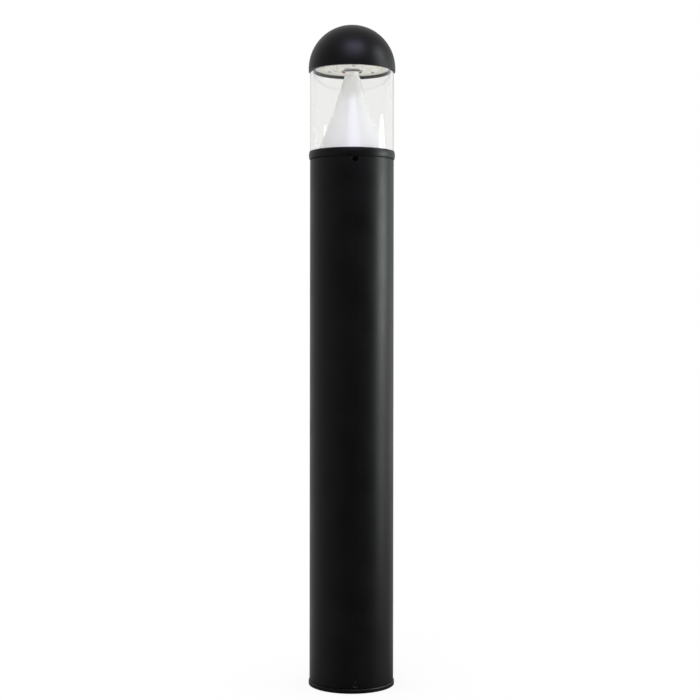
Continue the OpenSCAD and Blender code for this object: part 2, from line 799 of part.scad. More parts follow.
module surge_protector() {
    ear_z = (surge_top + surge_low) / 2;
    color("#2f4f8f") difference() {
        union() {
            translate([-surge_w / 2, tray_y - surge_d, surge_low]) cube([surge_w, surge_d, surge_l]);
            translate([-surge_w / 2 - surge_ear, tray_y - tray_t, ear_z - driver_tab / 2])
                cube([surge_w + 2 * surge_ear, tray_t, driver_tab]);
        }
        for (side = [-1, 1]) translate([side * surge_screw_x, tray_y - tray_t - cut, ear_z])
            rotate([-90, 0, 0]) cylinder(r = m4_hole + loose_gap, h = tray_t + 2 * cut);
    }
}

module surge_screws() {
    color("#b9bbbd") for (side = [-1, 1])
        tray_bolt(side * surge_screw_x, (surge_top + surge_low) / 2, tray_t);
}

module surge_leads() {
    color("#1b1b1c") wire_pair(surge_top, driver_low);
}

module supply_terminal() {
    color("#e9e9e4") terminal_block(supply_low, wire_d / 2 + through_gap);
}

module supply_leads() {
    color("#1b1b1c") wire_pair(supply_top - terminal_grip, surge_low);
}

module terminal_screws() {
    color("#b9bbbd") for (z = [terminal_low, supply_low]) tray_bolt(0, z + terminal_screw_rise, tray_t);
}

// ---- Dome and LED assembly ----

module dome_cap() {
    color("#1c1d1f") difference() {
        union() {
            difference() {
                rotate_extrude() dome_outline();
                rotate_extrude() dome_hollow();
            }
            around(dome_rib_n, 0) dome_rib();
        }
        translate([0, 0, web_low - cut])
            cylinder(r = rod_r + thread_fit, h = rod_grip + rod_bore_past + cut);
        around(small_set_n, plate_screw_at) translate([plate_screw_r, 0, web_low - cut])
            cylinder(r = m4_hole, h = web_t + 2 * cut);
    }
}

// The half ball on its skirt, recessed for the lens, its gasket and the heat plate
module dome_outline() {
    difference() {
        union() {
            section(0, dome_r, rim_z, dome_c);
            intersection() {
                translate([0, dome_c]) circle(dome_r, $fn = dome_fn);
                section(0, dome_r + cut, dome_c, overall_h + cut);
            }
        }
        section(-cut, lip_ir, rim_z - cut, web_low);
        chamfer(dome_r, rim_z, skirt_edge);
    }
}

// The space inside the dome, round its boss and above the web
module dome_hollow() {
    intersection() {
        translate([0, dome_c]) circle(dome_r - dome_wall, $fn = dome_fn);
        union() {
            section(boss_r, dome_r, web_high, overall_h);
            section(boss_r, web_ir, web_low - cut, web_high + cut);
        }
    }
}

// A cooling rib between the boss and the wall, inside the shell
module dome_rib() {
    intersection() {
        translate([boss_r - cut, -dome_rib_t / 2, web_high + cut]) cube([dome_r, dome_rib_t, dome_r]);
        translate([0, 0, dome_c]) sphere(dome_r - dome_wall / 2, $fn = dome_fn);
    }
}

module lens_gasket_top() {
    color("#0d0d0e") rotate_extrude() {
        section(gasket_lip_ir, lens_r, lens_high, web_low);
        section(gasket_lip_ir, gasket_lip_r, lens_high - gasket_lip_h, lens_high + top_gasket_t / 2);
    }
}

module heat_plate() {
    color("#b4b6b8") difference() {
        ring(seal_body_d / 2 + through_gap, plate_r, plate_low, web_low);
        around(small_set_n, board_screw_at) translate([board_screw_r, 0, plate_low - cut])
            cylinder(r = m3_hole, h = heat_plate_t - screw_short + cut);
        around(small_set_n, plate_screw_at) translate([plate_screw_r, 0, plate_low]) {
            translate([0, 0, -cut]) cylinder(r = m4_hole + loose_gap, h = heat_plate_t + 2 * cut);
            translate([0, 0, -plate_screw_sink])
                cylinder(r1 = m4[1] + 2 * loose_gap, r2 = m4[0] + loose_gap, h = m4[1] - m4[0] + loose_gap);
        }
    }
}

// Countersunk screws that hold the heat plate to the dome's web, covered by the board
module plate_screws() {
    color("#b9bbbd") around(small_set_n, plate_screw_at)
        translate([plate_screw_r, 0, plate_low + plate_screw_sink]) rotate_extrude()
            polygon([[0, 0], [m4[1], 0], [m4[0], m4[1] - m4[0]], [m4[0], plate_screw_l], [0, plate_screw_l]]);
}

module led_board() {
    color("#eef0ea") difference() {
        ring(seal_body_d / 2 + through_gap, plate_r, board_low, plate_low);
        around(small_set_n, board_screw_at) translate([board_screw_r, 0, board_low - cut])
            cylinder(r = m3_hole + through_gap, h = board_t + 2 * cut);
    }
}

module led_chips() {
    color("#e8dc8c") {
        around(led_outer_n, board_screw_at + 180 / led_outer_n) led_chip(plate_r - led_outer_in);
        around(led_inner_n, board_screw_at) led_chip(led_inner_r);
    }
}

module led_chip(r) {
    translate([r - led_side / 2, -led_side / 2, board_low - led_h]) cube([led_side, led_side, led_h]);
}

module board_screws() {
    color("#c9cacc") around(small_set_n, board_screw_at) translate([board_screw_r, 0, board_low])
        pan_screw(m3, board_screw_l);
}

// A rubber bush that seals the board's centre round the tie rod
module rod_seal() {
    color("#0d0d0e") rotate_extrude() {
        section(rod_r + through_gap, seal_d / 2, board_low - seal_drop, board_low);
        section(rod_r + through_gap, seal_body_d / 2, board_low - seal_drop, web_low);
    }
}

// A threaded rod from the dome's boss, down inside the cone, to the nut under the hub
module tie_rod() {
    color("#b9bbbd") rotate_extrude() difference() {
        section(0, rod_r, rod_low, rod_high);
        chamfer(rod_r, rod_low, rod_chamfer);
        chamfer(rod_r, rod_high, rod_chamfer);
    }
}

// A round wire along a route that lies in one upright plane
module wire(route, radius, sides = 10) {
    last = len(route) - 1;
    points = [for (i = [0 : last]) let (
                  ahead = route[min(i + 1, last)] - route[max(i - 1, 0)],
                  along = ahead / norm(ahead))
              for (k = [0 : sides - 1]) let (a = k * 360 / sides)
                  [route[i][0] - radius * cos(a) * along[1], radius * sin(a),
                   route[i][1] + radius * cos(a) * along[0]]];
    walls = [for (i = [0 : last - 1]) for (k = [0 : sides - 1]) let (next = (k + 1) % sides)
             [i * sides + k, (i + 1) * sides + k, (i + 1) * sides + next, i * sides + next]];
    ends = [[for (k = [0 : sides - 1]) k], [for (k = [sides - 1 : -1 : 0]) last * sides + k]];
    polyhedron(points, concat(walls, ends));
}

module led_lead_red() {
    color("#8c2f22") rotate([0, 0, lead_at]) wire(lead_route, lead_rad);
}

module led_lead_black() {
    color("#161617") rotate([0, 0, 180 - lead_at]) wire(lead_route, lead_rad);
}

anchor_base();
earth_lug();
earth_screw();
shaft_tube();
base_set_screws();
head_casting();
collar_gasket();
head_screws();
lens_gasket_low();
lens_tube();
cone_reflector();
reflector_screws();
tie_washer();
tie_nut();
gear_tray();
tray_screws();
led_driver();
driver_screws();
driver_leads();
lead_terminal();
surge_protector();
surge_screws();
surge_leads();
supply_terminal();
supply_leads();
terminal_screws();
dome_cap();
lens_gasket_top();
heat_plate();
plate_screws();
led_board();
led_chips();
board_screws();
rod_seal();
tie_rod();
led_lead_red();
led_lead_black();
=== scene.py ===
import logging
import math
from dataclasses import dataclass, field
from enum import Enum
from typing import Any, ClassVar, Iterable

import bmesh
import bpy
from mathutils import Matrix, Vector


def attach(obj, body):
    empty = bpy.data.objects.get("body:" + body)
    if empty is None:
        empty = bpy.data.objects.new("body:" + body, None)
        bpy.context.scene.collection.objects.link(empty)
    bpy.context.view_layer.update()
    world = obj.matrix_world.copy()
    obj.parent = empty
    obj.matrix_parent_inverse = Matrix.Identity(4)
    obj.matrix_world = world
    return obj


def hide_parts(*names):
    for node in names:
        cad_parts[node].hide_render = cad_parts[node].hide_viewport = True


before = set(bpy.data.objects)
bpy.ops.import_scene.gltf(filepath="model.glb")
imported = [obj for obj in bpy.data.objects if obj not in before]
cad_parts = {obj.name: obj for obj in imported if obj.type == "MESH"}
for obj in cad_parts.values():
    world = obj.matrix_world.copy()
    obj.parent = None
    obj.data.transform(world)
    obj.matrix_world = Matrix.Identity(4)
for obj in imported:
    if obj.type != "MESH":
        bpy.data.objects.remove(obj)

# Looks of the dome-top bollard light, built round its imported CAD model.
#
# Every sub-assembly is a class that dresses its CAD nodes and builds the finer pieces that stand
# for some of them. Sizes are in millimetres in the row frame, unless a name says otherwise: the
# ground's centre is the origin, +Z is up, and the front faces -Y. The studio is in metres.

LOG = logging.getLogger("bollard_light")
MM = 0.001  # metres in a millimetre
MERGE_MM = 1e-5  # corners nearer than this become one
SHARP_DEG = 38.0  # edges that turn further than this stay sharp
NOISE_MIDDLE = (0.3, 0.7)  # most of a noise's values lie between these
NOISE_ROUGHNESS = 0.55  # how strongly each finer octave of a noise shows
EVEN = (1.0, 1.0, 1.0)  # a noise that runs as fast along every axis

Socket = bpy.types.NodeSocket
Tree = bpy.types.NodeTree
Pair = tuple[float, float]
Triple = tuple[float, float, float]


# ---- Colours and nodes ----


def linear(hex_colour: str) -> tuple[float, float, float, float]:
    """Turns an sRGB hex colour to linear, by the sRGB standard's curve.

    Args:
        hex_colour: Six hex digits after a hash sign.

    Returns:
        Red, green, blue and an alpha of one.
    """
    parts = [int(hex_colour[i:i + 2], 16) / 255 for i in (1, 3, 5)]
    red, green, blue = (
        part / 12.92 if part <= 0.04045 else ((part + 0.055) / 1.055) ** 2.4 for part in parts)
    return red, green, blue, 1.0


def per_metre(size_mm: float) -> float:
    """The texture scale whose pattern repeats about every size_mm, on coordinates in metres."""
    return 1.0 / (size_mm * MM)


def add_node(
    tree: Tree,
    kind: str,
    settings: dict[str | int, Any] | None = None,
    links: dict[str | int, Socket] | None = None,
    stops: Iterable[tuple[float, str]] = (),
) -> bpy.types.Node:
    """Adds one node with its settings and links.

    Args:
        tree: Node tree that the node joins.
        kind: Blender's name for the node's type.
        settings: Properties by name, and values of unlinked sockets by name or number.
        links: The source of each linked socket, by name or number.
        stops: Places and hex colours of a colour ramp's stops.

    Returns:
        The new node.
    """
    node = tree.nodes.new(kind)
    for key, value in (settings or {}).items():
        if isinstance(key, str) and hasattr(node, key):
            setattr(node, key, value)
        else:
            node.inputs[key].default_value = value
    for key, source in (links or {}).items():
        tree.links.new(source, node.inputs[key])
    for i, (place, colour) in enumerate(stops):
        ramp = node.color_ramp.elements
        stop = ramp[i] if i < len(ramp) else ramp.new(place)
        stop.position, stop.color = place, linear(colour)
    return node


# ---- Finishes ----


@dataclass(frozen=True)
class Finish:
    """A material as bought and the surface that its making left."""

    name: str
    light: str
    dark: str
    roughness: float

    DRIFT: ClassVar[Pair] = (-0.03, 0.04)  # how far the roughness wanders each way

    def material(self) -> bpy.types.Material:
        """The finish as a Blender material, made once."""
        found = bpy.data.materials.get("look_" + self.name)
        if found is not None:
            return found
        made = bpy.data.materials.new("look_" + self.name)
        made.use_nodes = True
        made.node_tree.nodes.clear()
        shader = self.surface(made.node_tree)
        add_node(made.node_tree, "ShaderNodeOutputMaterial", links={"Surface": shader})
        made.diffuse_color = linear(self.light)
        return made

    def surface(self, tree: Tree) -> Socket:
        """Builds the shader and gives its output."""
        raise NotImplementedError

    def noise(self, tree: Tree, size_mm: float, detail: float = 2.0,
              stretch: Triple = EVEN) -> Socket:
        """A noise over the row frame.

        Args:
            tree: Node tree to build in.
            size_mm: Size of one blob of the noise.
            detail: Octaves of finer noise.
            stretch: How fast the noise runs along each axis.

        Returns:
            The noise's value, from 0 to 1.
        """
        place = add_node(tree, "ShaderNodeTexCoord").outputs["Object"]
        if stretch != EVEN:
            links = {"Vector": place}
            place = add_node(tree, "ShaderNodeMapping", {"Scale": stretch}, links).outputs[0]
        settings = {"Scale": per_metre(size_mm), "Detail": detail, "Roughness": NOISE_ROUGHNESS}
        return add_node(tree, "ShaderNodeTexNoise", settings, {"Vector": place}).outputs[0]

    def wander(self, tree: Tree, value: Socket) -> Socket:
        """The finish's roughness, which drifts both ways with a noise."""
        low, high = self.DRIFT
        settings = {"From Min": NOISE_MIDDLE[0], "From Max": NOISE_MIDDLE[1],
                    "To Min": self.roughness + low, "To Max": self.roughness + high}
        return add_node(tree, "ShaderNodeMapRange", settings, {"Value": value}).outputs[0]

    def tint(self, tree: Tree, value: Socket) -> Socket:
        """The finish's dark colour where a noise is low and its light colour where it is high."""
        stops = tuple(zip(NOISE_MIDDLE, (self.dark, self.light)))
        return add_node(tree, "ShaderNodeValToRGB", links={"Fac": value}, stops=stops).outputs[0]

    def bump(self, tree: Tree, value: Socket, height_mm: float) -> Socket:
        """The normal bent by a noise whose value of one stands for height_mm."""
        settings = {"Distance": height_mm * MM}
        return add_node(tree, "ShaderNodeBump", settings, {"Height": value}).outputs[0]


@dataclass(frozen=True)
class PowderCoat(Finish):
    """Polyester powder coat, sprayed dry and baked: satin, with a shallow orange peel."""

    peel_mm: float = 2.4  # real peel is about 1 mm from crest to crest, drawn coarser to show
    peel_height: float = 0.012
    fleck_mm: float = 0.6
    fleck: float = 0.0015
    cloud_mm: float = 55.0
    ior: float = 1.5

    def surface(self, tree: Tree) -> Socket:
        """Near-black body whose gloss wanders a little, as film thickness does."""
        cloud = self.noise(tree, self.cloud_mm)
        peel = self.noise(tree, self.peel_mm, 1.0)
        fleck = self.noise(tree, self.fleck_mm, 0.0)
        # In a colour mix, socket 0 is the share, and 6 and 7 are the two colours.
        settings = {"data_type": "RGBA", "blend_type": "ADD", 0: self.fleck}
        links = {6: self.tint(tree, cloud), 7: fleck}
        body = add_node(tree, "ShaderNodeMix", settings, links).outputs[2]
        return add_node(tree, "ShaderNodeBsdfPrincipled", {"IOR": self.ior}, {
            "Base Color": body,
            "Roughness": self.wander(tree, cloud),
            "Normal": self.bump(tree, peel, self.peel_height),
        }).outputs[0]


@dataclass(frozen=True)
class ClearAcrylic(Finish):
    """Extruded acrylic tube, polished by its die: clear, with faint draw lines along its length.

    The light colour tints what is seen through it, and the dark one the light that it lets in.
    """

    line_mm: float = 16.0
    line_height: float = 0.002
    line_stretch: Triple = (1.0, 1.0, 0.04)
    dust_mm: float = 30.0
    ior: float = 1.49

    DRIFT: ClassVar[Pair] = (0.0, 0.02)

    def surface(self, tree: Tree) -> Socket:
        """Glass-clear body that lets lamp light through to what it covers."""
        lines = self.noise(tree, self.line_mm, 1.0, self.line_stretch)
        dust = self.noise(tree, self.dust_mm, 3.0)
        settings = {"Transmission Weight": 1.0, "IOR": self.ior, "Base Color": linear(self.light)}
        clear = add_node(tree, "ShaderNodeBsdfPrincipled", settings, {
            "Roughness": self.wander(tree, dust),
            "Normal": self.bump(tree, lines, self.line_height),
        }).outputs[0]
        through = add_node(tree, "ShaderNodeBsdfTransparent", {"Color": linear(self.dark)})
        lamp = add_node(tree, "ShaderNodeLightPath").outputs["Is Shadow Ray"]
        links = {0: lamp, 1: clear, 2: through.outputs[0]}
        return add_node(tree, "ShaderNodeMixShader", links=links).outputs[0]


@dataclass(frozen=True)
class Metal(Finish):
    """Bare or plated metal with fine marks along the way that it was worked."""

    grain_mm: float = 1.6
    grain: Triple = EVEN
    grain_height: float = 0.004
    cloud_mm: float = 25.0

    DRIFT: ClassVar[Pair] = (-0.05, 0.07)

    def surface(self, tree: Tree) -> Socket:
        """Metal whose tone clouds and whose grain bends the highlight."""
        cloud = self.noise(tree, self.cloud_mm, 3.0)
        grain = self.noise(tree, self.grain_mm, 2.0, self.grain)
        return add_node(tree, "ShaderNodeBsdfPrincipled", {"Metallic": 1.0}, {
            "Base Color": self.tint(tree, cloud),
            "Roughness": self.wander(tree, grain),
            "Normal": self.bump(tree, grain, self.grain_height),
        }).outputs[0]


@dataclass(frozen=True)
class Moulded(Finish):
    """Moulded plastic, rubber or ceramic with the fine grain of its mould."""

    grain_mm: float = 1.2
    grain_height: float = 0.01
    ior: float = 1.5

    CLOUD_MM: ClassVar[float] = 18.0
    DRIFT: ClassVar[Pair] = (-0.05, 0.06)

    def surface(self, tree: Tree) -> Socket:
        """Even body colour with slight clouding and a stippled surface."""
        cloud = self.noise(tree, self.CLOUD_MM)
        grain = self.noise(tree, self.grain_mm, 1.0)
        return add_node(tree, "ShaderNodeBsdfPrincipled", {"IOR": self.ior}, {
            "Base Color": self.tint(tree, cloud),
            "Roughness": self.wander(tree, grain),
            "Normal": self.bump(tree, grain, self.grain_height),
        }).outputs[0]


@dataclass(frozen=True)
class Enamel(Finish):
    """White enamel baked on a spun aluminium shell: soft gloss over rings left by the spinning."""

    ring_mm: float = 3.0  # real spinning marks are under 1 mm apart, drawn coarser to show
    ring_height: float = 0.0015
    ring_stretch: Triple = (0.03, 0.03, 1.0)
    cloud_mm: float = 40.0
    coat: float = 0.5
    coat_roughness: float = 0.1
    ior: float = 1.5

    def surface(self, tree: Tree) -> Socket:
        """Even white body under a clear, slightly glossier skin."""
        cloud = self.noise(tree, self.cloud_mm)
        rings = self.noise(tree, self.ring_mm, 1.0, self.ring_stretch)
        settings = {"IOR": self.ior, "Coat Weight": self.coat,
                    "Coat Roughness": self.coat_roughness}
        return add_node(tree, "ShaderNodeBsdfPrincipled", settings, {
            "Base Color": self.tint(tree, cloud),
            "Roughness": self.wander(tree, cloud),
            "Normal": self.bump(tree, rings, self.ring_height),
        }).outputs[0]


# Baked polyester powder: a near-black satin in which lamps have wide soft edges.
BLACK_COAT = PowderCoat("polyester_powder_coat", "#080809", "#050506", 0.39)
# Acrylic drawn through a polished die: nearly unseen but for sharp streaks of light.
LENS = ClearAcrylic("extruded_acrylic", "#f8f8f7", "#f4f5f3", 0.01)
# Enamelled spun aluminium: light grey-white with a soft bright band down its side.
REFLECTOR = Enamel("enamelled_aluminium", "#f1f1f1", "#ebeceb", 0.24)
# Moulded EPDM rubber: matt black that hardly shines.
RUBBER = Moulded("epdm_rubber", "#141415", "#0e0e0f", 0.62, 0.9, 0.02, 1.52)
# Moulded silicone: pale grey with a waxy sheen.
SILICONE = Moulded("silicone_rubber", "#d3d4d1", "#c6c8c4", 0.45, 1.1, 0.01, 1.41)
# White solder mask, printed on the board: warm white, half matt.
MASK = Moulded("solder_mask", "#f8f6f2", "#f1efea", 0.42, 0.8, 0.004)
# Phosphor cast in silicone on each chip: deep yellow pillows.
PHOSPHOR = Moulded("cast_phosphor", "#e8d27c", "#dcc566", 0.35, 0.5, 0.004)
# The same mask over copper: slightly darker lines, raised a little.
TRACE = Moulded("masked_copper", "#e3dfcf", "#d8d3c0", 0.36, 0.8, 0.004)
# Sintered ceramic packages: off-white and fine-grained.
CERAMIC = Moulded("sintered_ceramic", "#f1f0ea", "#e8e7df", 0.38, 0.6, 0.003)
# Solder frozen as it wetted the pad: bright, smooth and silvery.
SOLDER = Metal("tin_solder", "#c8cacd", "#b1b3b6", 0.28, 0.8)
# Rolled aluminium sheet, as it left the mill: grey with marks along the rolling.
MILL = Metal("rolled_aluminium", "#c9cbcd", "#b6b8ba", 0.36, 2.0, (0.06, 1.0, 1.0), 0.003)
# Zinc-plated steel fasteners: cool and silvery, clouded by the bath.
ZINC = Metal("zinc_plated_steel", "#c3c6ca", "#a9acb0", 0.34, 1.4)
# Oxide-blackened steel: dark grey with a dull shine.
OXIDE = Metal("black_oxide_steel", "#2a2a2c", "#1d1d1f", 0.42, 1.0)
# Turned stainless steel: mid grey with a clean shine.
STAINLESS = Metal("turned_stainless", "#b9b9ba", "#a3a3a5", 0.3, 1.2)
# Turned brass: yellow metal, dulled slightly by handling.
BRASS = Metal("turned_brass", "#c79a55", "#b5863f", 0.34, 1.5)
# Moulded polycarbonate, white: even and half matt, with a fine stipple.
DRIVER = Moulded("white_polycarbonate", "#dcdcd8", "#d0d0cb", 0.5, 1.4, 0.02)
# Moulded polycarbonate, blue: even and half matt.
SURGE = Moulded("blue_polycarbonate", "#2f4f8f", "#27447e", 0.45, 1.2, 0.015)
# Moulded nylon, white: slightly glossier than the cases.
TERMINAL = Moulded("white_nylon", "#e9e9e4", "#dedfd8", 0.4, 1.2, 0.01)
# Extruded PVC insulation, red-brown: smooth with a dull shine.
RED_WIRE = Moulded("red_pvc", "#8c2f22", "#7a271b", 0.42, 1.5, 0.01)
# Extruded PVC insulation, black: smooth with a dull shine.
BLACK_WIRE = Moulded("black_pvc", "#1b1b1c", "#121213", 0.42, 1.5, 0.01)
# Printed polyester film: flat silver-grey, smoother than the case under it.
LABEL = Moulded("silver_film", "#b9bcbe", "#adb0b2", 0.32, 0.7, 0.003)
# Moulded acetal, orange: slightly slick.
LEVER = Moulded("orange_acetal", "#d8702a", "#c7611e", 0.4, 1.1, 0.01)
# Moulded green window: the glossiest plastic on the tray.
WINDOW = Moulded("green_polycarbonate", "#3f8d52", "#357a46", 0.18, 1.5, 0.002)


# ---- Shapes ----


def spot(turn_deg: float, radius: float, z: float) -> Matrix:
    """A place at a radius and a height, turned about the centre line from +X."""
    turn = Matrix.Rotation(math.radians(turn_deg), 4, "Z")
    return turn @ Matrix.Translation((radius, 0, z))


def arc(centre: Pair, radius: float, start: float, end: float, steps: int = 6) -> list[Pair]:
    """Points along an arc.

    Args:
        centre: The arc's centre.
        radius: The arc's radius.
        start: Angle of the first point, in degrees.
        end: Angle of the last point, in degrees.
        steps: Number of chords.

    Returns:
        The points as pairs.
    """
    turns = (math.radians(start + (end - start) * i / steps) for i in range(steps + 1))
    return [(centre[0] + radius * math.cos(a), centre[1] + radius * math.sin(a)) for a in turns]


@dataclass
class Shape:
    """A mesh under construction, with sizes in millimetres in the row frame."""

    name: str
    mesh: bmesh.types.BMesh = field(default_factory=bmesh.new)

    def skin(self, rings: list[list[Vector]], closed: bool = False) -> None:
        """Skins a row of rings that have as many points each.

        Args:
            rings: Points of each ring, in order.
            closed: Whether the last ring joins the first, or both ends are capped.
        """
        made = [[self.mesh.verts.new(point) for point in ring] for ring in rings]
        pairs = zip(made, made[1:] + made[:1]) if closed else zip(made, made[1:])
        for one, two in pairs:
            for k in range(len(one)):
                j = (k + 1) % len(one)
                self.mesh.faces.new((one[k], one[j], two[j], two[k]))
        if not closed:
            self.mesh.faces.new(made[0])
            self.mesh.faces.new(made[-1])

    def turn(self, outline: list[Pair], steps: int = 96, at: Matrix = Matrix.Identity(4)) -> None:
        """Turns a closed outline of radii and heights about an upright axis.

        Args:
            outline: Pairs of radius and height.
            steps: Facets round the axis.
            at: Where the axis stands.
        """
        spins = [at @ Matrix.Rotation(math.tau * i / steps, 4, "Z") for i in range(steps)]
        self.skin([[spin @ Vector((r, 0, z)) for r, z in outline] for spin in spins], closed=True)

    def tube(self, route: list[Vector], side: Vector, radius: float, sides: int = 20) -> None:
        """A round wire along a route that lies in one plane.

        Args:
            route: Points along the middle of the wire.
            side: The plane's normal.
            radius: Radius of the wire.
            sides: Facets round the wire.
        """
        rings = []
        for i, point in enumerate(route):
            ahead, behind = route[min(i + 1, len(route) - 1)], route[max(i - 1, 0)]
            up = side.cross((ahead - behind).normalized())
            turns = (math.tau * k / sides for k in range(sides))
            rings.append([point + radius * (math.cos(a) * up + math.sin(a) * side) for a in turns])
        self.skin(rings)

    def block(self, low: Triple, high: Triple, edge: float,
              at: Matrix = Matrix.Identity(4)) -> None:
        """A box with rounded edges.

        Args:
            low: Lowest corner.
            high: Highest corner.
            edge: Radius of the edges.
            at: Where the box stands.
        """
        size, middle = Vector(high) - Vector(low), (Vector(high) + Vector(low)) / 2
        matrix = at @ Matrix.Translation(middle) @ Matrix.Diagonal((*size, 1))
        corners = bmesh.ops.create_cube(self.mesh, size=1, matrix=matrix)["verts"]
        edges = list({e for corner in corners for e in corner.link_edges})
        bmesh.ops.bevel(self.mesh, geom=edges, offset=edge, segments=3, profile=0.5,
                        affect="EDGES")

    def place(self, body: str, slot: str, finish: Finish, *stands_for: str) -> None:
        """Puts the finished piece in the scene.

        Args:
            body: Body of the model that it moves with.
            slot: The record's material slot that its finish belongs to; not used.
            finish: Its finish.
            stands_for: CAD nodes that it is shown instead of.
        """
        bmesh.ops.remove_doubles(self.mesh, verts=self.mesh.verts, dist=MERGE_MM)
        bmesh.ops.recalc_face_normals(self.mesh, faces=self.mesh.faces)
        bmesh.ops.scale(self.mesh, vec=(MM, MM, MM), verts=self.mesh.verts)
        data = bpy.data.meshes.new(self.name)
        self.mesh.to_mesh(data)
        self.mesh.free()
        data.polygons.foreach_set("use_smooth", [True] * len(data.polygons))
        data.set_sharp_from_angle(angle=math.radians(SHARP_DEG))
        data.materials.append(finish.material())
        piece = bpy.data.objects.new(self.name, data)
        bpy.context.scene.collection.objects.link(piece)
        # Keeps large faces flat beside their rounded edges, so that the lens bends light evenly.
        piece.modifiers.new("flat_faces", "WEIGHTED_NORMAL").keep_sharp = True
        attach(piece, body)
        if stands_for:
            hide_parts(*stands_for)
        LOG.info("built %s on %s: %d faces", self.name, body, len(data.polygons))


# ---- Sub-assemblies ----


@dataclass
class SubAssembly:
    """Pieces that are fitted together, and the body of the model that they move with."""

    body: str
    finishes: dict[str, Finish] = field(default_factory=dict)

    def build(self) -> None:
        """Dresses the CAD nodes and builds the finer pieces."""
        for node, finish in self.finishes.items():
            self.dress(node, finish)

    def dress(self, node: str, finish: Finish) -> None:
        """Gives a CAD node its finish."""
        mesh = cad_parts[node].data
        mesh.materials.clear()
        mesh.materials.append(finish.material())
        LOG.info("dressed %s with %s", node, finish.name)


@dataclass
class Foot(SubAssembly):
    """Cast base on the ground, with its earth terminal."""

    body: str = "base"
    finishes: dict[str, Finish] = field(default_factory=lambda: {
        "anchor_base": BLACK_COAT, "earth_lug": BRASS, "earth_screw": BRASS})


@dataclass
class Column(SubAssembly):
    """The post with its set screws."""

    body: str = "column"
    finishes: dict[str, Finish] = field(default_factory=lambda: {
        "shaft_tube": BLACK_COAT, "base_set_screws": STAINLESS})


@dataclass
class LampHead(SubAssembly):
    """Collar casting with the lens and the cone reflector."""

    body: str = "head"
    finishes: dict[str, Finish] = field(default_factory=lambda: {
        "head_casting": BLACK_COAT, "collar_gasket": RUBBER, "head_screws": OXIDE,
        "lens_gasket_low": RUBBER, "cone_reflector": REFLECTOR,
        "reflector_screws": ZINC, "tie_washer": ZINC, "tie_nut": ZINC})
    lens_outer: float = 68.0
    lens_inner: float = 63.5
    lens_low: float = 857.5
    lens_high: float = 998.0
    lens_edge: float = 0.6
    lens_facets: int = 240

    def build(self) -> None:
        """Dresses the head and makes its lens."""
        super().build()
        self.lens()

    def lens(self) -> None:
        """Clear tube whose cut ends are flame-polished round."""
        edge = self.lens_edge
        inner, outer = self.lens_inner + edge, self.lens_outer - edge
        low, high = self.lens_low + edge, self.lens_high - edge
        outline = []
        for r, z, start in ((inner, low, 180), (outer, low, 270), (outer, high, 0),
                            (inner, high, 90)):
            outline += arc((r, z), edge, start, start + 90)
        tube = Shape("lens")
        tube.turn(outline, self.lens_facets)
        tube.place(self.body, "clear_lens", LENS, "lens_tube")


@dataclass(frozen=True)
class LeverBar:
    """A bar of a release lever: its half width, and its spans above and before its block."""

    half: float
    z: Pair
    y: Pair
    edge: float


